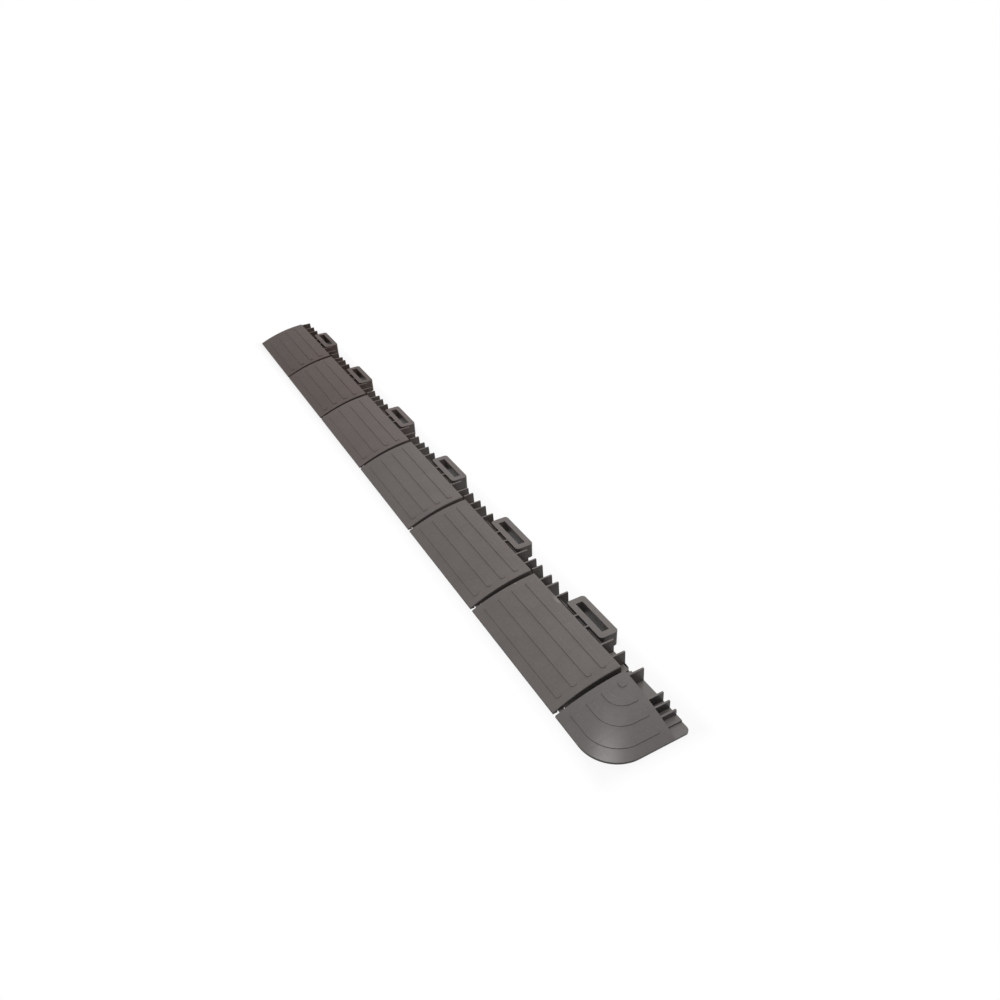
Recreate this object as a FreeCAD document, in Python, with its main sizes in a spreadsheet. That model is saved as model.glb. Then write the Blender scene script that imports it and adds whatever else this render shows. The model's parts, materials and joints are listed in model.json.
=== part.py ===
"""Ramp edging strip for snap-together floor tiles.

Six straight ramps and one outside corner, each a thin-walled moulding that is open below.
A tongue on the far end of every ramp but the first lies under the foot of the ramp before it,
and its split stud snaps into a hole in that foot, so that the strip can turn a little there.

X runs along the strip, from its free end to the corner. Y runs from the thin front lip to the
tile side. Z is up, and the origin is the middle of the strip on the floor.
"""
import FreeCAD, Part

import math
import os
import re

import Sketcher

from FreeCAD import Placement, Rotation, Vector

RAMP_COUNT = 6
TREAD_BARS = 4
CROSS_RIBS = 5

# name, millimetres or degrees, or a formula of other sizes, meaning
SIZES = [
    ("pitch", 150.0, "length that one straight ramp takes up in the strip"),
    ("joint_gap", 3.5, "gap between two ramps at the floor"),
    ("ramp_depth", 70.1, "front lip to back wall"),
    ("ramp_height", 19.0, "floor to top of the back wall"),
    ("lip_height", 2.0, "height of the front lip"),
    ("crown_radius", 184.0, "radius of the crowned top"),
    ("end_draft", 3.0, "lean of the upright walls, degrees"),
    ("edge_break", 0.6, "bevel of the top edge at each end"),
    ("skin", 2.0, "thickness of the top"),
    ("wall", 2.4, "thickness of the end and back walls"),
    ("front_land", 4.0, "solid strip behind the front lip"),
    ("rib_wall", 1.8, "thickness of ribs, fins and bridges"),
    ("long_rib_y", 34.5, "place of the lengthwise rib"),
    ("cross_rib_x", 11.3, "first cross rib, from the ramp's far end"),
    ("cross_rib_step", 31.5, "from one cross rib to the next"),
    ("tread_width", 5.7, "width of a raised tread bar"),
    ("tread_rise", 0.6, "height of a tread bar above the top"),
    ("tread_first_y", 11.6, "front tread bar, from the lip"),
    ("tread_last_y", 13.2, "last tread bar, from the back wall"),
    ("tread_step", "=(ramp_depth - tread_first_y - tread_last_y) / %d" % (TREAD_BARS - 1),
     "from one tread bar to the next"),
    ("tread_margin", 7.9, "from a tread bar's end to the ramp's end"),
    ("tread_corner", 1.5, "bevel of a tread bar's corners in plan"),
    ("fin_reach", 13.8, "how far the fins stand behind the back wall"),
    ("fin_height", 18.2, "height of the fins"),
    ("fin_lean", 0.9, "how much a fin's tip leans in at the top"),
    ("fin_one_x", 11.4, "first fin, from the ramp's far end"),
    ("fin_two_x", 23.8, "second fin"),
    ("fin_three_x", 40.6, "third fin"),
    ("fin_four_x", 114.8, "fourth fin"),
    ("fin_five_x", 131.8, "fifth fin"),
    ("starter_fin_x", 3.6, "first fin of the first ramp, which has no tongue"),
    ("loop_x", 79.1, "middle of the peg loop, from the ramp's far end"),
    ("loop_length", 56.8, "outer length of the peg loop"),
    ("loop_width", 19.9, "outer width of the peg loop"),
    ("loop_height", 16.5, "height of the peg loop"),
    ("loop_round", 3.6, "outer corner radius of the peg loop"),
    ("loop_gap", 4.5, "gap between back wall and peg loop"),
    ("slot_length", 43.1, "length of the slot for the tile's peg"),
    ("slot_width", 7.5, "width of the slot for the tile's peg"),
    ("bridge_spread", 17.4, "distance between the two bridges of a peg loop"),
    ("tie_bar_y", 2.4, "tie bar in the loop gap, behind the back wall"),
    ("tie_bar_wall", 1.0, "thickness of the tie bar"),
    ("tie_bar_height", 15.8, "height of the tie bar"),
    ("tongue_thick", 1.5, "thickness of the tongue under the foot"),
    ("foot_thick", 1.5, "thickness of the foot plate above the tongue"),
    ("floor_plate", 2.0, "thickness of the plate that lies on the floor"),
    ("fit_gap", 0.3, "clearance between tongue and foot, and round the stud"),
    ("turn_gap", 1.2, "clearance that lets the tongue turn"),
    ("foot_back", 9.0, "from the end of the foot plate to the next ramp"),
    ("foot_round", 5.0, "corner radius of the foot plate"),
    ("joint_fin_back", 6.1, "fin on the tongue, from the ramp's far end"),
    ("stud_back", 26.4, "snap stud, from the ramp's far end"),
    ("stud_radius", 2.5, "radius of the eight-sided stud, to its corners"),
    ("stud_barb", 0.6, "how far the stud's head stands out"),
    ("stud_head", 1.4, "height of the stud's head"),
    ("stud_split", 1.0, "width of the split in the stud"),
    ("guide_y", 8.4, "middle of the front guide tab, from the lip"),
    ("guide_width", 5.2, "width of the front guide tab"),
    ("guide_reach", 7.2, "how far the front guide tab stands out"),
    ("corner_width", 68.9, "far end of the corner to its side lip"),
    ("corner_round", 34.4, "plan radius of the outside corner"),
    ("corner_reach", 15.7, "how far the corner's plate and fins stand behind its back wall"),
    ("corner_fin_one_x", 6.0, "corner's first fin, from its far end"),
    ("corner_fin_two_x", 32.7, "corner's second fin"),
    ("corner_fin_three_x", 41.3, "corner's third fin"),
    ("corner_fin_four_x", 49.7, "corner's fourth fin"),
    ("corner_fin_drop", 0.4, "corner's lower fins, below the sloping end"),
    ("corner_step_x", 57.6, "end of the corner's raised plate"),
    ("corner_plate", 3.5, "height of the corner's raised plate"),
    ("corner_plate_round", 5.0, "corner radius of the corner's plate"),
    ("corner_pad", 6.7, "side of the small square pad at the corner's top"),
]

doc = FreeCAD.newDocument("edging_strip")
sheet = doc.addObject("Spreadsheet::Sheet", "Sizes")
for row, (alias, number, meaning) in enumerate(SIZES, start=1):
    sheet.set("A%d" % row, meaning)
    sheet.set("B%d" % row, str(number))
    sheet.setAlias("B%d" % row, alias)
doc.recompute()
ALIASES = {alias for alias, _, _ in SIZES}


def size(alias):
    """The value of one cell."""
    return float(sheet.get(alias))


def cells(text):
    """An expression in which each size's name stands for its cell."""
    return re.sub(r"[a-z_]+", lambda m: "Sizes." + m[0] if m[0] in ALIASES else m[0], str(text))


def bind(thing, **expressions):
    """Tie properties of a document object to the sheet; x, y and z are its place."""
    for name, text in expressions.items():
        path = "Placement.Base." + name if name in ("x", "y", "z") else name
        thing.setExpression(path, cells(text))
    return thing


def box(name, x, y, z, long, deep, high):
    thing = doc.addObject("Part::Box", name)
    return bind(thing, x=x, y=y, z=z, Length=long, Width=deep, Height=high)


def post(name, x, y, z, radius, high):
    thing = doc.addObject("Part::Cylinder", name)
    return bind(thing, x=x, y=y, z=z, Radius=radius, Height=high)


def fuse(name, parts):
    thing = doc.addObject("Part::MultiFuse", name)
    thing.Shapes = parts
    thing.Refine = True
    return thing


def cut(name, base, tool):
    thing = doc.addObject("Part::Cut", name)
    thing.Base = base
    thing.Tool = tool
    thing.Refine = True
    return thing


def common(name, base, tool):
    thing = doc.addObject("Part::Common", name)
    thing.Base = base
    thing.Tool = tool
    return thing


def extrude(name, base, direction, length, **placed):
    thing = doc.addObject("Part::Extrusion", name)
    thing.Base = base
    thing.DirMode = "Custom"
    thing.Dir = direction
    thing.Solid = True
    thing.FaceMakerClass = "Part::FaceMakerBullseye"
    return bind(thing, LengthFwd=length, **placed)


def work_edges(kind, name, base, amount, wanted):
    """Fillet or chamfer the edges of base for which wanted(edge) is true."""
    doc.recompute()
    numbers = [i for i, edge in enumerate(base.Shape.Edges, start=1) if wanted(edge)]
    thing = doc.addObject(kind, name)
    thing.Base = base
    thing.Edges = [(number, amount, amount) for number in numbers]
    return thing


def round_edges(name, base, radius, wanted):
    return work_edges("Part::Fillet", name, base, radius, wanted)


def upright(edge):
    low, high = edge.Vertexes[0].Point, edge.Vertexes[-1].Point
    return abs(low.z - high.z) > 0.5 and math.hypot(low.x - high.x, low.y - high.y) < 1e-6


def crown_end(edge):
    """True for the two edges where the crown meets an end wall."""
    return edge.BoundBox.YLength > edge.BoundBox.ZLength > size("lip_height")


def near(value, target):
    return abs(value - target) < 0.01


# --------------------------------------------------------------------- crowned profile

def crown_centre():
    """Centre of the crown's circle, as distance from the lip and height."""
    lip, depth, height = size("lip_height"), size("ramp_depth"), size("ramp_height")
    rise = height - lip
    chord = math.hypot(depth, rise)
    back_off = math.sqrt(size("crown_radius") ** 2 - chord ** 2 / 4)
    return depth / 2 + rise / chord * back_off, (lip + height) / 2 - depth / chord * back_off


def crown_height(distance):
    """Height of the top at a distance from the lip."""
    along, up = crown_centre()
    return up + math.sqrt(size("crown_radius") ** 2 - (distance - along) ** 2)


def section_sketch():
    """Upright section of the ramp: lip, crowned top, back wall and floor."""
    depth, height, lip = size("ramp_depth"), size("ramp_height"), size("lip_height")
    along, up = crown_centre()
    radius = size("crown_radius")
    start = math.atan2(height - up, depth - along)
    stop = math.atan2(lip - up, -along)
    sketch = doc.addObject("Sketcher::SketchObject", "ramp_section")
    sketch.Placement = Placement(Vector(), Rotation(Vector(1, 1, 1), 120))
    circle = Part.Circle(Vector(along, up, 0), Vector(0, 0, 1), radius)
    floor = sketch.addGeometry(Part.LineSegment(Vector(), Vector(depth, 0, 0)))
    back = sketch.addGeometry(Part.LineSegment(Vector(depth, 0, 0), Vector(depth, height, 0)))
    crown = sketch.addGeometry(Part.ArcOfCircle(circle, start, stop))
    front = sketch.addGeometry(Part.LineSegment(Vector(0, lip, 0), Vector()))
    join = [
        ("Coincident", floor, 1, -1, 1), ("Coincident", floor, 2, back, 1),
        ("Coincident", back, 2, crown, 1), ("Coincident", crown, 2, front, 1),
        ("Coincident", front, 2, floor, 1), ("Horizontal", floor), ("Vertical", back),
        ("Vertical", front),
    ]
    for rule in join:
        sketch.addConstraint(Sketcher.Constraint(*rule))
    measured = [
        ("depth", "ramp_depth", ("DistanceX", floor, 1, floor, 2, depth)),
        ("height", "ramp_height", ("DistanceY", back, 1, back, 2, height)),
        ("lip", "lip_height", ("DistanceY", front, 2, front, 1, lip)),
        ("crown", "crown_radius", ("Radius", crown, radius)),
    ]
    for name, alias, rule in measured:
        sketch.addConstraint(Sketcher.Constraint(*rule))
        sketch.renameConstraint(sketch.ConstraintCount - 1, name)
        sketch.setExpression("Constraints." + name, cells(alias))
    return sketch


def fin_sketch(name, reach):
    """Side view of a fin, which starts inside the back wall and stands out by reach."""
    root, tip = size("ramp_depth") - size("wall"), size("ramp_depth") + size(reach)
    high, lean = size("fin_height"), size("fin_lean")
    corners = [Vector(root, 0, 0), Vector(tip, 0, 0), Vector(tip - lean, high, 0),
               Vector(root, high, 0)]
    sketch = doc.addObject("Sketcher::SketchObject", name)
    sketch.Placement = Placement(Vector(), Rotation(Vector(1, 1, 1), 120))
    for i, corner in enumerate(corners):
        sketch.addGeometry(Part.LineSegment(corner, corners[(i + 1) % 4]))
    for i in range(4):
        sketch.addConstraint(Sketcher.Constraint("Coincident", i, 2, (i + 1) % 4, 1))
    sketch.addConstraint(Sketcher.Constraint("PointOnObject", 0, 1, -1))
    for rule in (("Horizontal", 0), ("Horizontal", 2), ("Vertical", 3)):
        sketch.addConstraint(Sketcher.Constraint(*rule))
    measured = [
        ("root", "ramp_depth - wall", ("DistanceX", -1, 1, 0, 1, root)),
        ("tip", "ramp_depth + " + reach, ("DistanceX", -1, 1, 0, 2, tip)),
        ("lean", "fin_lean", ("DistanceX", 1, 2, 1, 1, lean)),
        ("high", "fin_height", ("DistanceY", 3, 2, 3, 1, high)),
    ]
    for label, text, rule in measured:
        sketch.addConstraint(Sketcher.Constraint(*rule))
        sketch.renameConstraint(sketch.ConstraintCount - 1, label)
        sketch.setExpression("Constraints." + label, cells(text))
    return sketch


SECTION = section_sketch()
FIN = fin_sketch("fin_section", "fin_reach")
CORNER_FIN = fin_sketch("corner_fin_section", "corner_reach")
ALONG_X = Vector(1, 0, 0)
UPWARD = Vector(0, 0, 1)
BODY_LENGTH = "pitch - joint_gap"


def fin(name, x, section=FIN):
    """A thin upright fin behind the back wall, with its middle at x."""
    return extrude(name, section, ALONG_X, "rib_wall", x="(%s) - rib_wall / 2" % x)


# --------------------------------------------------------------------- snap joint

def octagon(name, radius):
    thing = doc.addObject("Part::RegularPolygon", name)
    thing.Polygon = 8
    return bind(thing, Circumradius=radius)


def tongue(name, with_fin):
    """Plate, stud and guide tab that join a ramp's far end to the ramp before it."""
    root = "ramp_depth - wall"
    outer = "ramp_depth + turn_gap"
    bar_width = "fin_reach - 2 * turn_gap"
    bar = box(name + "_bar", "-stud_back", outer, "0", "stud_back", bar_width, "tongue_thick")
    end = post(name + "_end", "-stud_back", "ramp_depth + fin_reach / 2", "0",
               "fin_reach / 2 - turn_gap", "tongue_thick")
    shelf = box(name + "_shelf", "2 * fit_gap - foot_back", outer, "0",
                "foot_back - 2 * fit_gap", "fin_reach - turn_gap", "floor_plate")
    plate = box(name + "_plate", "0", root, "0", "fin_two_x", "fin_reach + wall", "floor_plate")
    neck_high = "tongue_thick + foot_thick + 2 * fit_gap"
    middle = {"x": "-stud_back", "y": "ramp_depth + fin_reach / 2"}
    neck = extrude(name + "_neck", octagon(name + "_neck_plan", "stud_radius"), UPWARD, neck_high,
                   z="0", **middle)
    head = extrude(name + "_head", octagon(name + "_head_plan", "stud_radius + stud_barb"),
                   UPWARD, "stud_head", z=neck_high, **middle)
    bind(head, TaperAngle="-atan(2 * stud_barb / stud_head)")
    stud = fuse(name + "_stud", [neck, head])
    split = box(name + "_split", "-stud_back - 2 * stud_radius",
                "ramp_depth + fin_reach / 2 - stud_split / 2", "tongue_thick", "4 * stud_radius",
                "stud_split", "foot_thick + 2 * fit_gap + 2 * stud_head")
    guide = box(name + "_guide", "-guide_reach", "guide_y - guide_width / 2", "0",
                "guide_reach + wall", "guide_width", "tongue_thick")
    parts = [bar, end, shelf, plate, cut(name + "_split_stud", stud, split), guide]
    if with_fin:
        joint_fin = fin(name + "_fin", "-joint_fin_back")
        trim = box(name + "_trim", "-2 * foot_back", "0", "-1", "4 * foot_back", outer,
                   "2 * fin_height")
        parts.append(cut(name + "_joint_fin", joint_fin, trim))
    return fuse(name, parts)


def foot(name):
    """Raised plate at a ramp's near end that the next ramp's tongue lies under."""
    slab = box(name + "_slab", "fin_four_x", "ramp_depth - wall", "tongue_thick + fit_gap",
               "pitch - foot_back - fin_four_x", "fin_reach + wall", "foot_thick")
    rounded = round_edges(name + "_rounded", slab, size("foot_round"), lambda edge: upright(edge)
                          and near(edge.BoundBox.XMin, size("pitch") - size("foot_back"))
                          and edge.BoundBox.YMin > size("ramp_depth"))
    hole = post(name + "_hole", "pitch - stud_back", "ramp_depth + fin_reach / 2", "0",
                "stud_radius + fit_gap", "fin_height")
    return cut(name, rounded, hole)


# --------------------------------------------------------------------- straight ramp

def crowned_block(name, rise):
    """The ramp's section run along its length, raised or lowered."""
    return extrude(name, SECTION, ALONG_X, BODY_LENGTH, z=rise)


def ramp_outside():
    """Crowned block between leaning end walls, its top edge bevelled at both ends."""
    footprint = doc.addObject("Part::Plane", "ramp_footprint")
    bind(footprint, Length=BODY_LENGTH, Width="ramp_depth")
    leaning = extrude("leaning_block", footprint, UPWARD, "ramp_height + lip_height")
    bind(leaning, TaperAngle="-end_draft")
    block = common("ramp_block", crowned_block("crowned_block", "0"), leaning)
    return work_edges("Part::Chamfer", "ramp_outside", block, size("edge_break"), crown_end)


def ramp_cores():
    """The spaces under the skin, parted by the cross ribs and the lengthwise rib."""
    inner = box("core_limits", "wall", "front_land", "-1", "pitch - joint_gap - 2 * wall",
                "ramp_depth - wall - front_land", "ramp_height")
    space = common("core_space", crowned_block("core_block", "-skin"), inner)
    ribs = [box("cross_rib_%d" % (i + 1), "cross_rib_x + %d * cross_rib_step - rib_wall / 2" % i,
                "0", "-2", "rib_wall", "ramp_depth", "2 * ramp_height")
            for i in range(CROSS_RIBS)]
    ribs.append(box("long_rib", "0", "long_rib_y - rib_wall / 2", "-2", "pitch", "rib_wall",
                    "2 * ramp_height"))
    return cut("ramp_cores", space, fuse("under_ribs", ribs))


def treads():
    """Four raised bars that follow the crowned top."""
    bars = []
    for i in range(TREAD_BARS):
        bars.append(box("tread_bar_%d" % (i + 1), "tread_margin",
                        "tread_first_y + %d * tread_step - tread_width / 2" % i, "0",
                        "pitch - joint_gap - 2 * tread_margin", "tread_width", "2 * ramp_height"))
    bevelled = work_edges("Part::Chamfer", "tread_bevelled", fuse("tread_bars", bars),
                          size("tread_corner"), upright)
    raised = common("tread_top", crowned_block("tread_block", "tread_rise"), bevelled)
    return cut("treads", raised, crowned_block("tread_under", "-skin / 2"))


def peg_loop():
    """Upright frame whose slot takes a peg of the tile, on two bridges."""
    front = "ramp_depth + loop_gap"
    left = "loop_x - loop_length / 2"
    block = box("loop_block", left, front, "0", "loop_length", "loop_width", "loop_height")
    outside = round_edges("loop_outside", block, size("loop_round"), upright)
    slot = box("loop_slot", "loop_x - slot_length / 2",
               front + " + (loop_width - slot_width) / 2", "-1", "slot_length", "slot_width",
               "2 * loop_height")
    groove = box("loop_groove", left + " + rib_wall", front + " + rib_wall", "-1",
                 "loop_length - 2 * rib_wall", "loop_width - 2 * rib_wall",
                 "loop_height - skin + 1")
    collar = box("loop_collar", "loop_x - slot_length / 2 - rib_wall",
                 front + " + (loop_width - slot_width) / 2 - rib_wall", "-2",
                 "slot_length + 2 * rib_wall", "slot_width + 2 * rib_wall", "2 * loop_height")
    ring = cut("loop_ring", groove, collar)
    frame = cut("loop_frame", cut("loop_open", outside, slot), ring)
    bridges = [box("loop_bridge_%d" % i, "loop_x %s bridge_spread / 2 - rib_wall / 2" % sign,
                   "ramp_depth - wall", "0", "rib_wall", "loop_gap + wall + rib_wall",
                   "loop_height")
               for i, sign in enumerate("-+", start=1)]
    tie_bar = box("tie_bar", "fin_three_x", "ramp_depth + tie_bar_y - tie_bar_wall / 2", "0",
                  "fin_four_x - fin_three_x", "tie_bar_wall", "tie_bar_height")
    return fuse("peg_loop", [frame, tie_bar] + bridges)


def straight_ramp():
    """Everything that all straight ramps share."""
    shell = cut("ramp_shell", ramp_outside(), ramp_cores())
    fins = [fin("fin_%d" % i, alias)
            for i, alias in enumerate(["fin_two_x", "fin_three_x", "fin_four_x", "fin_five_x"],
                                      start=2)]
    behind = fuse("behind_wall", fins + [foot("foot_plate"), peg_loop()])
    tongue_room = box("tongue_room", "fin_four_x + rib_wall / 2", "ramp_depth", "-1", "pitch",
                      "2 * fin_reach", "tongue_thick + fit_gap + 1")
    guide_room = box("guide_room", "pitch - joint_gap - wall - 1",
                     "guide_y - guide_width / 2 - turn_gap", "-1", "wall + 2",
                     "guide_width + 2 * turn_gap", "tongue_thick + fit_gap + 1")
    whole = fuse("ramp_with_back", [shell, treads(), cut("behind_trimmed", behind, tongue_room)])
    return cut("straight_ramp", whole, guide_room)


# --------------------------------------------------------------------- corner ramp

# Flat facets in plan that make up the lip's round turn
TURN_FACETS = 8
# How far the crown's solid runs past the top point, in millimetres
OVERLAP = 5.0
# How far it runs past the lip, as a multiple of the lip's distance
OVERSIZE = 1.1
# Keeps the long axis of a nearly round section the longer one
LONG_AXIS = 1 + 1e-10


def lip_points(overlap=0.0):
    """Corner's lip in plan, from the top point, its round stretch as tangent facets."""
    width, depth, radius = size("corner_width"), size("ramp_depth"), size("corner_round")
    step = math.pi / 2 / TURN_FACETS
    reach = radius / math.cos(step / 2)
    turns = [-math.pi / 2 + (i + 0.5) * step for i in range(TURN_FACETS)]
    return ([Vector(-overlap, -depth, 0)]
            + [Vector(width - radius + reach * math.cos(turn),
                      radius - depth + reach * math.sin(turn), 0) for turn in turns]
            + [Vector(width, overlap, 0)])


def crown_sector(i, near_lip, far_lip, rise):
    """Solid under one facet of the crown: a wedge from the top point to its part of the lip.

    Its section is that of the straight ramp, stretched to the facet's distance from the top.
    """
    depth = size("ramp_depth")
    turn = (i / TURN_FACETS - 1) * math.pi / 2
    outward = Vector(math.cos(turn), math.sin(turn), 0)
    reach = outward.dot(near_lip)
    along, up = crown_centre()
    stretch = reach / depth
    major, minor = size("crown_radius") * stretch, size("crown_radius")
    centre = outward * (reach - along * stretch) + Vector(0, 0, up + rise)
    start, stop = (math.acos((distance - reach + along * stretch) / major)
                   for distance in (OVERSIZE * reach, -OVERLAP))
    if major >= minor:
        ellipse = Part.Ellipse(centre + outward * major * LONG_AXIS, centre + UPWARD * minor, centre)
    else:
        ellipse = Part.Ellipse(centre - UPWARD * minor * LONG_AXIS, centre + outward * major, centre)
        start, stop = start + math.pi / 2, stop + math.pi / 2
    crown = ellipse.toShape(start, stop)
    foot = Vector(0, 0, -4 * size("ramp_height"))
    ends = [edge.Point for edge in crown.Vertexes]
    lines = [(ends[1], ends[1] + foot), (ends[1] + foot, ends[0] + foot), (ends[0] + foot, ends[0])]
    section = Part.Face(Part.Wire([crown] + [Part.LineSegment(*line).toShape() for line in lines]))
    across = UPWARD.cross(outward) * (2 * reach)
    section.translate(-across)
    plan = Part.makePolygon([Vector(), near_lip * OVERSIZE, far_lip * OVERSIZE, Vector()])
    wedge = Part.Face(plan).extrude(UPWARD * (4 * size("ramp_height")))
    wedge.translate(foot / 2)
    return section.extrude(2 * across).common(wedge)


def corner_crown(name, rise):
    """Solid under the corner's crown, raised or lowered, that overlaps the corner's plan."""
    lip = lip_points(OVERLAP)
    sectors = [crown_sector(i, *pair, rise) for i, pair in enumerate(zip(lip, lip[1:]))]
    thing = doc.addObject("Part::Feature", name)
    thing.Shape = sectors[0].fuse(sectors[1:])
    thing.Placement = Placement(Vector(0, size("ramp_depth"), 0), Rotation())
    return thing


def corner_plan(name, inset="0"):
    """Sketch of the corner's plan, its two lips moved inwards by a size."""
    start = size(inset) if inset in ALIASES else 0
    width, depth = size("corner_width") - start, size("ramp_depth")
    radius = size("corner_round") - start
    sketch = doc.addObject("Sketcher::SketchObject", name)
    circle = Part.Circle(Vector(width - radius, start + radius, 0), UPWARD, radius)
    front = sketch.addGeometry(Part.LineSegment(Vector(0, start, 0),
                                                Vector(width - radius, start, 0)))
    turn = sketch.addGeometry(Part.ArcOfCircle(circle, -math.pi / 2, 0))
    side = sketch.addGeometry(Part.LineSegment(Vector(width, start + radius, 0),
                                               Vector(width, depth, 0)))
    back = sketch.addGeometry(Part.LineSegment(Vector(width, depth, 0), Vector(0, depth, 0)))
    left = sketch.addGeometry(Part.LineSegment(Vector(0, depth, 0), Vector(0, start, 0)))
    join = [
        ("Tangent", front, 2, turn, 1), ("Tangent", turn, 2, side, 1),
        ("Coincident", side, 2, back, 1), ("Coincident", back, 2, left, 1),
        ("Coincident", left, 2, front, 1), ("Horizontal", front), ("Vertical", side),
        ("Horizontal", back), ("PointOnObject", left, 1, -2), ("PointOnObject", left, 2, -2),
    ]
    for rule in join:
        sketch.addConstraint(Sketcher.Constraint(*rule))
    measured = [
        ("width", "corner_width - " + inset, ("DistanceX", -1, 1, side, 2, width)),
        ("depth", "ramp_depth", ("DistanceY", -1, 1, side, 2, depth)),
        ("inset", inset, ("DistanceY", -1, 1, front, 1, start)),
        ("turn", "corner_round - " + inset, ("Radius", turn, radius)),
    ]
    for label, text, rule in measured:
        sketch.addConstraint(Sketcher.Constraint(*rule))
        sketch.renameConstraint(sketch.ConstraintCount - 1, label)
        sketch.setExpression("Constraints." + label, cells(text))
    return sketch


def corner_cores():
    """Spaces under the corner's skin, parted by ribs in line with its fins."""
    inside = extrude("corner_inside", corner_plan("corner_inset_plan", "front_land"), UPWARD,
                     "ramp_height", z="-1")
    limits = box("corner_limits", "wall", "0", "-1", "corner_width", "ramp_depth - wall",
                 "ramp_height")
    space = common("corner_space", corner_crown("corner_core_crown", -size("skin")),
                   common("corner_core_plan", inside, limits))
    ribs = [box("corner_rib_%d" % i, alias + " - rib_wall / 2", "0", "-2", "rib_wall",
                "ramp_depth", "2 * ramp_height")
            for i, alias in enumerate(["corner_fin_one_x", "corner_fin_two_x",
                                       "corner_fin_four_x"], start=1)]
    ribs.append(box("corner_long_rib", "0", "long_rib_y - rib_wall / 2", "-2", "corner_width",
                    "rib_wall", "2 * ramp_height"))
    return cut("corner_cores", space, fuse("corner_under_ribs", ribs))


def shrunk_prism(name, share, high):
    """Upright prism on the corner's plan, shrunk towards the top point."""
    corners = [Vector()] + [point * share for point in lip_points()] + [Vector()]
    thing = doc.addObject("Part::Feature", name)
    thing.Shape = Part.Face(Part.makePolygon(corners)).extrude(UPWARD * high)
    thing.Placement = Placement(Vector(0, size("ramp_depth"), 0), Rotation())
    return thing


def corner_treads():
    """Three raised bands that turn the corner in line with the straight bars, and a pad."""
    depth, half = size("ramp_depth"), size("tread_width") / 2
    margin = size("tread_margin")
    high = 2 * size("ramp_height")
    window = box("corner_tread_window", "tread_margin", "0", "skin", "corner_width",
                 "ramp_depth - tread_margin", "2 * ramp_height")
    bars = []
    for i in range(TREAD_BARS - 1):
        back = depth - size("tread_first_y") - i * size("tread_step")
        ring = cut("corner_ring_%d" % i,
                   shrunk_prism("corner_ring_out_%d" % i, (back + half) / depth, high),
                   shrunk_prism("corner_ring_in_%d" % i, (back - half) / depth, 2 * high))

        def bar_end(edge):
            middle = edge.BoundBox.Center
            return upright(edge) and (near(middle.x, margin) or near(middle.y, depth - margin))

        bars.append(work_edges("Part::Chamfer", "corner_bar_%d" % i,
                               common("corner_bar_long_%d" % i, ring, window),
                               size("tread_corner"), bar_end))
    pad = box("corner_pad_block", "tread_margin", "ramp_depth - tread_margin - corner_pad",
              "skin", "corner_pad", "corner_pad", "2 * ramp_height")
    bars.append(work_edges("Part::Chamfer", "corner_pad_cut", pad, size("tread_corner"), upright))
    return common("corner_treads", corner_crown("corner_tread_crown", size("tread_rise")),
                  fuse("corner_bars", bars))


def corner_back():
    """Plate and fins behind the corner's upper end."""
    root = "ramp_depth - wall"
    low = box("corner_low_plate", "0", root, "0", "corner_width", "corner_reach + wall",
              "floor_plate")
    rounded = round_edges("corner_low_round", low, size("corner_plate_round"),
                          lambda edge: upright(edge)
                          and near(edge.BoundBox.XMin, size("corner_width"))
                          and edge.BoundBox.YMin > size("ramp_depth"))
    high = box("corner_high_plate", "0", root, "0", "corner_step_x", "corner_reach + wall",
               "corner_plate")
    parts = [rounded, high, fin("corner_fin_1", "corner_fin_one_x", CORNER_FIN)]
    for i, alias in enumerate(["corner_fin_two_x", "corner_fin_three_x", "corner_fin_four_x"],
                              start=2):
        slope = crown_height(size("corner_width") - size(alias))
        limit = doc.addObject("Part::Box", "corner_fin_limit_%d" % i)
        bind(limit, x=alias + " - rib_wall", y=root, z="0", Length="2 * rib_wall",
             Width="2 * corner_reach")
        limit.Height = slope - size("corner_fin_drop")
        tall = fin("corner_fin_%d" % i, alias, CORNER_FIN)
        parts.append(common("corner_fin_low_%d" % i, tall, limit))
    return fuse("corner_back", parts)


def corner_ramp():
    leaning = extrude("corner_leaning", corner_plan("corner_plan"), UPWARD,
                      "ramp_height + lip_height")
    bind(leaning, TaperAngle="-end_draft")
    outside = common("corner_outside", corner_crown("corner_top", 0), leaning)
    solid = fuse("corner_solid", [outside, corner_treads()])
    shell = cut("corner_shell", solid, corner_cores())
    return fuse("corner_body", [shell, corner_back()])


# --------------------------------------------------------------------- strip

STRIP_LENGTH = "(%d * pitch + corner_width)" % RAMP_COUNT
STRIP_DEPTH = "(ramp_depth + loop_gap + loop_width)"

shared = straight_ramp()
starter = fuse("starter_moulding", [shared, fin("starter_fin", "starter_fin_x")])
straight = fuse("straight_moulding", [shared, fin("fin_1", "fin_one_x"), tongue("tongue", True)])
corner = fuse("corner_moulding", [corner_ramp(), tongue("corner_tongue", False)])

sub_parts = []
for number in range(1, RAMP_COUNT + 2):
    if number == 1:
        label, moulding = "starter_ramp", starter
    elif number <= RAMP_COUNT:
        label, moulding = "straight_ramp_%d" % number, straight
    else:
        label, moulding = "corner_ramp", corner
    piece = doc.addObject("Part::Compound", "placed_" + label)
    piece.Label = label
    piece.Links = [moulding]
    bind(piece, x="%d * pitch - %s / 2" % (number - 1, STRIP_LENGTH), y="-%s / 2" % STRIP_DEPTH)
    sub_parts.append(piece)

doc.recompute()
for thing in doc.Objects:
    if "Invalid" in thing.State or "Error" in thing.State:
        raise RuntimeError("%s could not be built: %s" % (thing.Name, thing.State))
for piece in sub_parts:
    if piece.Shape.isNull() or not piece.Shape.isValid() or len(piece.Shape.Solids) != 1:
        raise RuntimeError("%s is not one valid solid" % piece.Label)

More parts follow.
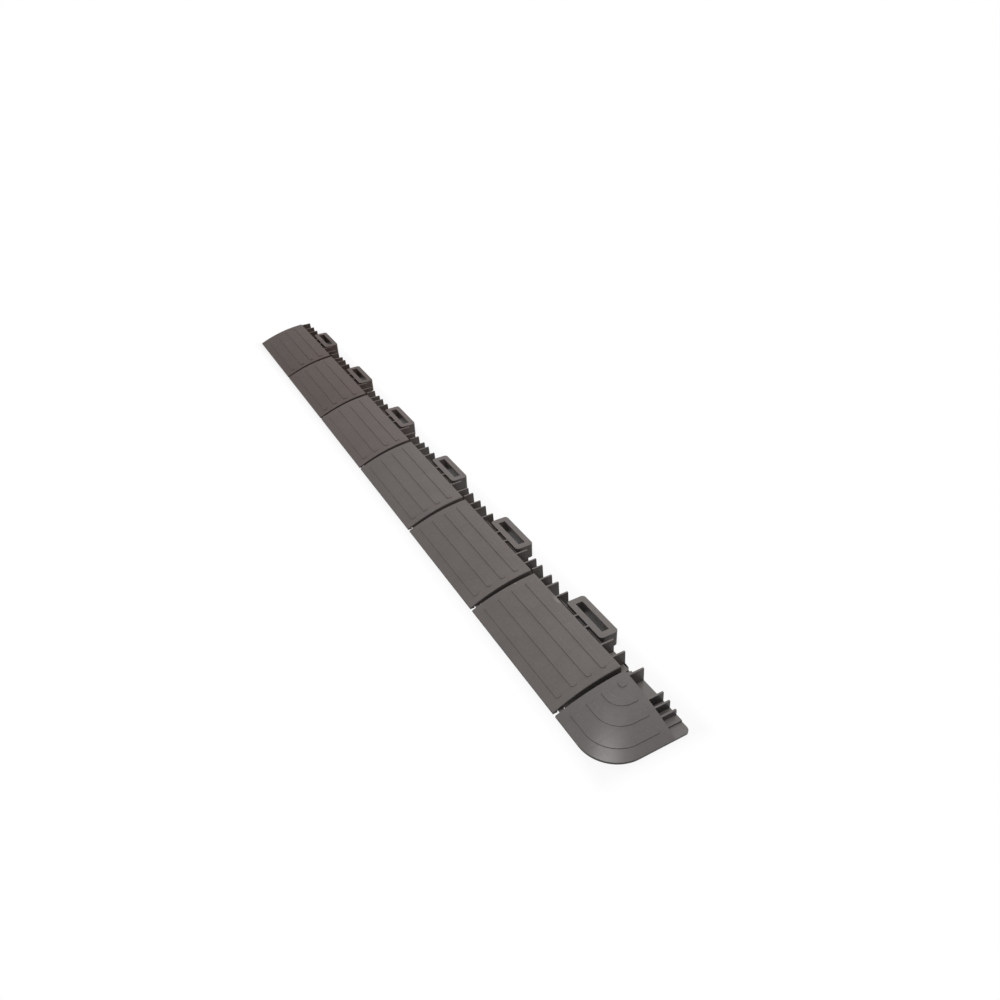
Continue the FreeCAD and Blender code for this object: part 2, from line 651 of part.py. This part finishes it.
os.makedirs("parts", exist_ok=True)
for piece in sub_parts:
    piece.Shape.exportStep("parts/%s.step" % piece.Label)
    bounds = piece.Shape.BoundBox
    print("%-16s volume %8.0f mm3  x %7.1f %7.1f  y %6.1f %6.1f  z %5.2f %5.2f" % (
        piece.Label, piece.Shape.Volume, bounds.XMin, bounds.XMax, bounds.YMin, bounds.YMax,
        bounds.ZMin, bounds.ZMax))
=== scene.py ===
"""Looks of the ramp edging strip: seven snapped-together mouldings of dark grey-brown plastic.

Each moulding is finished from its own solid: its facets are joined into clean faces, its edges are
rounded as a moulding tool leaves them, and its skin is satin plastic with faint flow and sink marks.
"""

import json
import math

import bmesh
import bpy
from mathutils import Euler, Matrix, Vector

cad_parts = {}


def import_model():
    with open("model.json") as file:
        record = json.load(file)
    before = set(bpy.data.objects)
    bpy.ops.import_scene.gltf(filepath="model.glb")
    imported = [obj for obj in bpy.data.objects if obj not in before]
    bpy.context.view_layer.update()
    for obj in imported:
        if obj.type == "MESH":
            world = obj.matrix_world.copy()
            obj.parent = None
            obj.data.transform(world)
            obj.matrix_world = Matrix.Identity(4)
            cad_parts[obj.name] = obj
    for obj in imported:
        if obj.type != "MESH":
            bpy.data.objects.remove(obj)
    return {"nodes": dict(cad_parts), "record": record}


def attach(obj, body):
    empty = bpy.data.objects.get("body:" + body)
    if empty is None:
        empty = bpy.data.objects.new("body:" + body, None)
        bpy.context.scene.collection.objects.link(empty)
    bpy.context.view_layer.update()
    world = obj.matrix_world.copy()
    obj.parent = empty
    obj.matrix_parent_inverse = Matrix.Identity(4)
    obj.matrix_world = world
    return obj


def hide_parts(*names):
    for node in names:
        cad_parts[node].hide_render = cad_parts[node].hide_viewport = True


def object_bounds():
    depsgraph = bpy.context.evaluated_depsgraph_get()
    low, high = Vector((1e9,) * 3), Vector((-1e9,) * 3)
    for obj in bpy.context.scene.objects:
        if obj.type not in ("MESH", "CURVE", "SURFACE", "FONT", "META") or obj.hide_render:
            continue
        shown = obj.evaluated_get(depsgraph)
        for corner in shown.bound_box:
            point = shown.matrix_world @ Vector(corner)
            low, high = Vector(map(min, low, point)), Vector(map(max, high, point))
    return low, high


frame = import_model()
cad_low, cad_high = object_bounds()

MM = 0.001

# Sizes of the strip that its skin follows
PITCH = 150 * MM
RAMP_DEPTH = 70.1 * MM
RAMP_HEIGHT = 19.0 * MM
LIP_HEIGHT = 2.0 * MM
CROWN_RADIUS = 184 * MM
CORNER_WIDTH = 68.9 * MM
CORNER_ROUND = 34.4 * MM
TREAD_RISE = 0.6 * MM
FREE_END = cad_low[0]
LIP_LINE = cad_low[1]
BACK_WALL = LIP_LINE + RAMP_DEPTH
CORNER_START = cad_high[0] - CORNER_WIDTH
FIRST_RIB = 11.3 * MM
RIB_STEP = 31.5 * MM
SINK_WIDTH = 2.2 * MM
SINK_DEPTH = 0.02 * MM
SINK_SHADE = 0.07

# Pale patches on the sixth ramp's top: middle, half length and half width, and how pale
PALE_PATCHES = (
    ((311.6 * MM, 20.6 * MM), (9.5 * MM, 3.2 * MM), 0.34),
    ((268.4 * MM, -0.3 * MM), (1.3 * MM, 0.9 * MM), 0.8),
)

# Tie bar in the gap between the back wall and the peg loop: where it is, and how far it is moved
TIE_BAR_FRONT = BACK_WALL + 1.85 * MM
TIE_BAR_REAR = BACK_WALL + 2.95 * MM
TIE_BAR_TOP = 15.8 * MM
TIE_BAR_SLACK = 0.1 * MM
TIE_BAR_BACK = 1.5 * MM
TIE_BAR_DOWN = 2.7 * MM

# Colour of each moulding: darker and browner towards the starter ramp
TONES = {
    "starter_ramp": (0.109, 0.078, 0.067),
    "straight_ramp_2": (0.126, 0.096, 0.085),
    "straight_ramp_3": (0.156, 0.128, 0.120),
    "straight_ramp_4": (0.172, 0.151, 0.143),
    "straight_ramp_5": (0.170, 0.149, 0.141),
    "straight_ramp_6": (0.170, 0.153, 0.144),
    "corner_ramp": (0.152, 0.138, 0.133),
}

# Satin of a ramp, and of the corner, whose tool is polished
RAMP_SATIN = {"shine": 0.23, "smoothest": 0.34, "roughest": 0.43, "grain_depth": 0.03 * MM}
CORNER_SATIN = {"shine": 0.4, "smoothest": 0.34, "roughest": 0.4, "grain_depth": 0.012 * MM}

# Shares of a moulding's tone: darkest and lightest flow marks, painted edge highlight and pale
# patches, and painted shade of recesses and inner edges
FLOW_DARK = 0.91
FLOW_LIGHT = 1.09
HIGHLIGHT_AND_PATCH_PALE = 2.6
RECESS_DARK = 0.3

# Moulding finish
WELD = 0.002 * MM
FLAT_ANGLE = math.radians(0.4)
EDGE_ANGLE = math.radians(28)
EDGE_ROUND = 0.12 * MM
CORNER_EDGE_ROUND = 0.08 * MM
TREAD_ROUND = 0.24 * MM
CROWDED = 0.11 * MM
ROUND_STEPS = 2
NEAR_CROWN = 0.15 * MM
SLOPE_STEP = 0.1 * MM
FACES_UP = 0.85

# How much highlight is painted on the outer edges, and how much shade is painted in the inner ones
EDGE_HIGHLIGHT = 0.04
CREASE_SHADE = 0.55

# Painted shade darkens the joint gaps and the feet of fins: how near the walls that shut a place in
# are, how open it is where the painted shade starts and where it is full, and how dark it gets
RECESS_REACH = 12 * MM
RECESS_STARTS = 0.72
RECESS_FULL = 0.25
RECESS_SHARE = 0.75

# Studio
FLOOR_SIZE = 20.0
FLOOR_DROP = 0.05 * MM
SHADOW_STARTS = 0.5 * MM
SHADOW_ENDS = 14 * MM
SHADOW_LIFT = 0.8
PAPER_WHITE = 0.95
PAPER_UNSEEN = 0.25
ROOM_LIGHT = 0.12
LENS = 29.098
SENSOR = 36.0
CAMERA_PLACE = (0.79453, -0.28852, 0.53048)
CAMERA_TURN = Euler((math.radians(55.3282), math.radians(1.9499), math.radians(61.0416)))


# ------------------------------------------------------------------ node helpers

def node_maker(tree):
    """Empties a node tree and gives the tool that adds nodes to it."""
    tree.nodes.clear()

    def make(kind, inputs=None, **settings):
        node = tree.nodes.new(kind)
        for name, value in settings.items():
            setattr(node, name, value)
        for name, value in (inputs or {}).items():
            socket = node.inputs[name]
            if isinstance(value, bpy.types.NodeSocket):
                tree.links.new(value, socket)
            else:
                socket.default_value = value
        return node

    return make


def math_maker(make):
    """The tool that adds one step of arithmetic and gives its result."""
    def calculate(operation, *values):
        return make("ShaderNodeMath", dict(enumerate(values)), operation=operation).outputs[0]

    return calculate


def new_material(name):
    """A bare material, and the tool that adds nodes to it."""
    material = bpy.data.materials.new(name)
    material.use_nodes = True
    return material, node_maker(material.node_tree)


# ------------------------------------------------------------------ plastic

def sink_marks(make, place):
    """1 along the lines where the ribs under the top draw the skin in a little, else 0."""
    calculate = math_maker(make)
    along = make("ShaderNodeSeparateXYZ", {"Vector": place}).outputs["X"]
    in_ramp = calculate("FLOORED_MODULO", calculate("SUBTRACT", along, FREE_END), PITCH)
    from_rib = calculate("PINGPONG", calculate("SUBTRACT", in_ramp, FIRST_RIB), RIB_STEP / 2)
    mark = make("ShaderNodeMapRange", {"Value": from_rib, "From Max": SINK_WIDTH,
                                       "To Min": 1.0, "To Max": 0.0},
                interpolation_type="SMOOTHSTEP")
    return mark.outputs["Result"]


def scaled(tone, share):
    """A share of a tone, as a colour socket takes it."""
    return tuple(channel * share for channel in tone) + (1,)


def noise(make, place, scale, detail, roughness):
    """Cloudy pattern on the plastic."""
    return make("ShaderNodeTexNoise", {"Vector": place, "Scale": scale, "Detail": detail,
                                       "Roughness": roughness}).outputs["Fac"]


def patch_paleness(make, place, middle, reach, strength):
    """How pale a patch is: most in its middle, nothing past its reach."""
    calculate = math_maker(make)
    axes = make("ShaderNodeSeparateXYZ", {"Vector": place}).outputs
    along = calculate("DIVIDE", calculate("SUBTRACT", axes["X"], middle[0]), reach[0])
    across = calculate("DIVIDE", calculate("SUBTRACT", axes["Y"], middle[1]), reach[1])
    away = calculate("SQRT", calculate("ADD", calculate("MULTIPLY", along, along),
                                       calculate("MULTIPLY", across, across)))
    pale = make("ShaderNodeMapRange", {"Value": away, "From Min": 0.15,
                                       "To Min": strength, "To Max": 0.0},
                interpolation_type="SMOOTHSTEP")
    return pale.outputs["Result"]


def moulded_plastic(name, tone, satin, pale_patch_list=()):
    """Dark warm grey plastic: satin, with faint flow and sink marks and a fine grain.
    Outer edges get a painted highlight, inner edges and recesses painted shade, and pale patches go
    where asked.
    """
    material, make = new_material(name)
    calculate = math_maker(make)
    place = make("ShaderNodeTexCoord").outputs["Object"]
    flow = noise(make, place, scale=34.0, detail=3.0, roughness=0.55)
    mottle = noise(make, place, scale=260.0, detail=4.0, roughness=0.65)
    grain = noise(make, place, scale=1700.0, detail=2.0, roughness=0.6)
    sinks = sink_marks(make, place)
    shade = calculate("ADD", calculate("MULTIPLY", flow, 0.6), calculate("MULTIPLY", mottle, 0.4))
    shade = calculate("SUBTRACT", shade, calculate("MULTIPLY", sinks, SINK_SHADE))
    colour = make("ShaderNodeValToRGB", {"Fac": shade})
    colour.color_ramp.elements[0].position = 0.30
    colour.color_ramp.elements[0].color = scaled(tone, FLOW_DARK)
    colour.color_ramp.elements[1].position = 0.70
    colour.color_ramp.elements[1].color = scaled(tone, FLOW_LIGHT)

    # Painted highlight on the outer edges and painted shade in the inner ones, read from the edge
    # attribute
    edge = make("ShaderNodeAttribute", attribute_name="painted_edge_light").outputs["Fac"]
    pale_share = make("ShaderNodeMapRange", {"Value": edge, "To Max": EDGE_HIGHLIGHT}).outputs["Result"]
    # Pale patches join the painted edge highlight
    for pale_patch in pale_patch_list:
        pale_share = calculate("MAXIMUM", pale_share, patch_paleness(make, place, *pale_patch))
    pale_share = calculate("MULTIPLY", pale_share, calculate("ADD", mottle, 0.5))
    # Painted shade along the inner edges, where the feet of steps lie in shade
    crease_dark = make("ShaderNodeMapRange", {"Value": edge, "From Max": -1.0,
                                        "To Max": CREASE_SHADE}).outputs["Result"]
    paled = make("ShaderNodeMixRGB", {"Fac": pale_share, "Color1": colour.outputs["Color"],
                                      "Color2": scaled(tone, HIGHLIGHT_AND_PATCH_PALE)}).outputs["Color"]
    # Painted shade: the more the walls around a place shut it in, the darker its colour
    open_air = make("ShaderNodeAmbientOcclusion", {"Distance": RECESS_REACH},
                    samples=8).outputs["AO"]
    recess = make("ShaderNodeMapRange", {"Value": open_air, "From Min": RECESS_STARTS,
                                         "From Max": RECESS_FULL,
                                         "To Max": RECESS_SHARE}).outputs["Result"]
    dark = calculate("MAXIMUM", crease_dark, recess)
    surface = make("ShaderNodeMixRGB", {"Fac": dark, "Color1": paled,
                                        "Color2": scaled(tone, RECESS_DARK)}).outputs["Color"]

    gloss = make("ShaderNodeMapRange", {"Value": mottle, "From Min": 0.3, "From Max": 0.7,
                                        "To Min": satin["smoothest"],
                                        "To Max": satin["roughest"]})
    height = calculate("SUBTRACT", calculate("MULTIPLY", grain, satin["grain_depth"]),
                       calculate("MULTIPLY", sinks, SINK_DEPTH))
    bump = make("ShaderNodeBump", {"Height": height, "Strength": 1.0, "Distance": 1.0})
    skin = make("ShaderNodeBsdfPrincipled", {"Base Color": surface,
                                             "Roughness": gloss.outputs["Result"],
                                             "Normal": bump.outputs["Normal"], "IOR": 1.45,
                                             "Specular IOR Level": satin["shine"]})
    make("ShaderNodeOutputMaterial", {"Surface": skin.outputs["BSDF"]})
    return material


# ------------------------------------------------------------------ mouldings

def settle_tie_bar(shape):
    """Drops the thin bar behind the back wall, so that it lies low against the peg loop."""
    for corner in shape.verts:
        if TIE_BAR_FRONT < corner.co.y < TIE_BAR_REAR:
            corner.co.y += TIE_BAR_BACK
            if abs(corner.co.z - TIE_BAR_TOP) < TIE_BAR_SLACK:
                corner.co.z -= TIE_BAR_DOWN


def lip_distance(along, back):
    """Way from the corner's top point to its lip, in the direction of a point in plan."""
    away = math.hypot(along, back)
    if away == 0:
        return CORNER_WIDTH
    aim = (along / away, back / away)
    straight = CORNER_WIDTH - CORNER_ROUND, RAMP_DEPTH - CORNER_ROUND
    if aim[0] * RAMP_DEPTH <= aim[1] * straight[0]:
        return RAMP_DEPTH / aim[1]
    if aim[1] * CORNER_WIDTH <= aim[0] * straight[1]:
        return CORNER_WIDTH / aim[0]
    middle = aim[0] * straight[0] + aim[1] * straight[1]
    spare = straight[0] ** 2 + straight[1] ** 2 - CORNER_ROUND ** 2
    return middle + math.sqrt(middle ** 2 - spare)


def crown_height(x, y):
    """Height of the crowned top at a place in plan."""
    back = BACK_WALL - y
    along = x - CORNER_START
    if along > 0:
        back = RAMP_DEPTH * math.hypot(along, back) / lip_distance(along, max(back, 0))
    rise = RAMP_HEIGHT - LIP_HEIGHT
    chord = math.hypot(RAMP_DEPTH, rise)
    off = math.sqrt(CROWN_RADIUS ** 2 - chord ** 2 / 4) / chord
    centre = RAMP_DEPTH / 2 + rise * off, (LIP_HEIGHT + RAMP_HEIGHT) / 2 - RAMP_DEPTH * off
    return centre[1] + math.sqrt(CROWN_RADIUS ** 2 - (RAMP_DEPTH - back - centre[0]) ** 2)


def crown_normal(place):
    """Direction in which the crowned top faces at a place in plan."""
    step = SLOPE_STEP
    x, y = place.x, place.y
    slope_x = (crown_height(x + step, y) - crown_height(x - step, y)) / (2 * step)
    slope_y = (crown_height(x, y + step) - crown_height(x, y - step)) / (2 * step)
    return Vector((-slope_x, -slope_y, 1)).normalized()


def on_crown(face):
    """Whether a face is part of the crowned top or of a tread bar's top."""
    middle = face.calc_center_median()
    if face.normal.z < FACES_UP or middle.y > BACK_WALL:
        return False
    above = middle.z - crown_height(middle.x, middle.y)
    return abs(above) < NEAR_CROWN or abs(above - TREAD_RISE) < NEAR_CROWN


def skin_normals(shape, rounded):
    """Normals that follow the true crown and run smoothly from each face into its rounded edges."""
    crown = {face for face in shape.faces if face not in rounded and on_crown(face)}
    normals = []
    for face in shape.faces:
        for vert in face.verts:
            wide = [near for near in vert.link_faces if near not in rounded]
            if face not in rounded:
                wide = [near for near in wide if near.normal.angle(face.normal) < EDGE_ANGLE]
            elif wide and max(near.normal.angle(wide[0].normal) for near in wide) > EDGE_ANGLE:
                wide = []
            if any(near in crown for near in wide):
                normals.append(crown_normal(vert.co))
            elif wide:
                blend = sum((near.normal * near.calc_area() for near in wide), Vector())
                normals.append(blend.normalized())
            else:
                normals.append(vert.normal.copy())
    return normals


def is_tread_step(face):
    """Whether a face is the low side of a tread bar."""
    if face.normal.z > FACES_UP or max(vert.co.y for vert in face.verts) > BACK_WALL - MM:
        return False
    above = [vert.co.z - crown_height(vert.co.x, vert.co.y) for vert in face.verts]
    return min(above) > -NEAR_CROWN and max(above) < TREAD_RISE + NEAR_CROWN


def round_edges(shape, edges, radius):
    """Rounds edges and gives the faces that make the rounding."""
    return bmesh.ops.bevel(shape, geom=edges, offset=radius, offset_type="OFFSET",
                           segments=ROUND_STEPS, profile=0.5, affect="EDGES",
                           clamp_overlap=False, material=-1)["faces"]


def mark_edges(rounded, edge_light_layer):
    """Writes the painted edge light: 1 on outer edges (highlight), -1 in inner ones (shade), 0
    elsewhere.
    """
    for face in rounded:
        turn = sum(edge.calc_face_angle_signed(0) for edge in face.edges)
        face[edge_light_layer] = 1 if turn > 0 else -1


def keep_in_box(shape):
    """Brings what the rounding pushed out back to the strip's own box."""
    for vert in shape.verts:
        vert.co = [min(max(*pair), high) for *pair, high in zip(vert.co, cad_low, cad_high)]


def finish_moulding(node_name, body, material):
    """A copy of a moulding's solid with clean faces and rounded edges, which stands for it."""
    source = frame["nodes"][node_name]
    edge_round = CORNER_EDGE_ROUND if node_name == "corner_ramp" else EDGE_ROUND
    shape = bmesh.new()
    shape.from_mesh(source.data)
    # Face layer that says where edge highlight and edge shade are painted
    edge_light_layer = shape.faces.layers.float.new("painted_edge_light")
    bmesh.ops.remove_doubles(shape, verts=shape.verts, dist=WELD)
    bmesh.ops.dissolve_limit(shape, angle_limit=FLAT_ANGLE, verts=shape.verts, edges=shape.edges)
    if node_name != "corner_ramp":
        settle_tie_bar(shape)
    shape.normal_update()
    sharp = [edge for edge in shape.edges if edge.calc_face_angle(0) > EDGE_ANGLE]
    treads = [edge for edge in sharp if any(is_tread_step(face) for face in edge.link_faces)]
    tread_edges = set(treads)
    crowded = {vert for vert in shape.verts
               if min(edge.calc_length() for edge in vert.link_edges) < CROWDED}
    others = [edge for edge in sharp
              if edge not in tread_edges and not crowded.intersection(edge.verts)]
    rounded = round_edges(shape, treads, TREAD_ROUND)
    rounded += round_edges(shape, others, edge_round)
    keep_in_box(shape)
    shape.normal_update()
    mark_edges(rounded, edge_light_layer)
    normals = skin_normals(shape, set(rounded))
    mesh = bpy.data.meshes.new(node_name + "_moulding")
    shape.to_mesh(mesh)
    shape.free()
    mesh.materials.append(material)
    mesh.shade_smooth()
    mesh.normals_split_custom_set(normals)
    piece = bpy.data.objects.new(node_name + "_moulding", mesh)
    bpy.context.scene.collection.objects.link(piece)
    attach(piece, body)
    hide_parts(node_name)


# ------------------------------------------------------------------ studio

def seen_directly(make):
    """1 for what the camera, a reflection or clear material shows, else 0."""
    calculate = math_maker(make)
    path = make("ShaderNodeLightPath").outputs
    return calculate("MAXIMUM", path["Is Camera Ray"],
                     calculate("MAXIMUM", path["Is Glossy Ray"], path["Is Transmission Ray"]))


def floor_material():
    """White paper that keeps the strip's shadow and turns pure white a little way off."""
    material, make = new_material("floor_paper")
    calculate = math_maker(make)
    place = make("ShaderNodeTexCoord").outputs["Object"]
    axes = make("ShaderNodeSeparateXYZ", {"Vector": place}).outputs
    past_end = calculate("MAXIMUM", calculate("SUBTRACT", calculate("ABSOLUTE", axes["X"]),
                                              cad_high[0]), 0.0)
    past_side = calculate("MAXIMUM", calculate("SUBTRACT", calculate("ABSOLUTE", axes["Y"]),
                                               cad_high[1]), 0.0)
    away = calculate("SQRT", calculate("ADD", calculate("MULTIPLY", past_end, past_end),
                                       calculate("MULTIPLY", past_side, past_side)))
    fade = make("ShaderNodeMapRange", {"Value": away, "From Min": SHADOW_STARTS,
                                       "From Max": SHADOW_ENDS, "To Min": SHADOW_LIFT})
    paper = make("ShaderNodeBsdfDiffuse", {"Color": (PAPER_WHITE,) * 3 + (1,)})
    white = make("ShaderNodeEmission", {"Color": (1, 1, 1, 1), "Strength": 1.0})
    shown = make("ShaderNodeMixShader", {0: fade.outputs["Result"], 1: paper.outputs[0],
                                         2: white.outputs[0]})
    dull = make("ShaderNodeBsdfDiffuse", {"Color": (PAPER_UNSEEN,) * 3 + (1,)})
    mixed = make("ShaderNodeMixShader", {0: seen_directly(make), 1: dull.outputs[0],
                                         2: shown.outputs[0]})
    make("ShaderNodeOutputMaterial", {"Surface": mixed.outputs[0]})
    return material


def floor():
    """Wide flat floor just under the strip."""
    shape = bmesh.new()
    bmesh.ops.create_grid(shape, x_segments=1, y_segments=1, size=FLOOR_SIZE)
    bmesh.ops.translate(shape, verts=shape.verts, vec=(0, 0, cad_low[2] - FLOOR_DROP))
    mesh = bpy.data.meshes.new("floor")
    shape.to_mesh(mesh)
    shape.free()
    mesh.materials.append(floor_material())
    plane = bpy.data.objects.new("floor", mesh)
    bpy.context.scene.collection.objects.link(plane)


def softbox(name, place, target, width, height, power):
    """Soft lamp that looks at its target."""
    lamp = bpy.data.lights.new(name, "AREA")
    lamp.shape = "RECTANGLE"
    lamp.size = width
    lamp.size_y = height
    lamp.energy = power
    box = bpy.data.objects.new(name, lamp)
    box.location = place
    box.rotation_euler = (Vector(target) - Vector(place)).to_track_quat("-Z", "Y").to_euler()
    bpy.context.scene.collection.objects.link(box)


def world():
    """Even light of a pale room, which looks white where it is seen."""
    scene = bpy.context.scene
    scene.world = bpy.data.worlds.new("studio")
    scene.world.use_nodes = True
    make = node_maker(scene.world.node_tree)
    strength = make("ShaderNodeMapRange", {"Value": seen_directly(make), "To Min": ROOM_LIGHT})
    sky = make("ShaderNodeBackground", {"Color": (1, 1, 1, 1),
                                        "Strength": strength.outputs["Result"]})
    make("ShaderNodeOutputWorld", {"Surface": sky.outputs["Background"]})


def camera():
    """Camera in front of the corner, above the strip."""
    lens = bpy.data.cameras.new("camera")
    lens.lens = LENS
    lens.sensor_width = SENSOR
    lens.clip_start = 0.01
    view = bpy.data.objects.new("camera", lens)
    view.location = CAMERA_PLACE
    view.rotation_euler = CAMERA_TURN
    bpy.context.scene.collection.objects.link(view)
    bpy.context.scene.camera = view


# ------------------------------------------------------------------ assembly

bpy.context.scene.view_settings.view_transform = "Standard"
for body, node_names in frame["record"]["behaviour"]["bodies"].items():
    for node_name in node_names:
        pale_spots = PALE_PATCHES if node_name == "straight_ramp_6" else ()
        satin = CORNER_SATIN if node_name == "corner_ramp" else RAMP_SATIN
        plastic = moulded_plastic(node_name + "_plastic", TONES[node_name], satin, pale_spots)
        finish_moulding(node_name, body, plastic)

floor()
softbox("key_box", place=(0.5, -0.25, 1.4), target=(0.35, -0.02, 0),
        width=0.55, height=0.45, power=12)
softbox("back_box", place=(-0.8, 1.5, 0.75), target=(0, 0, 0), width=1.2, height=0.5, power=16)
world()
camera()
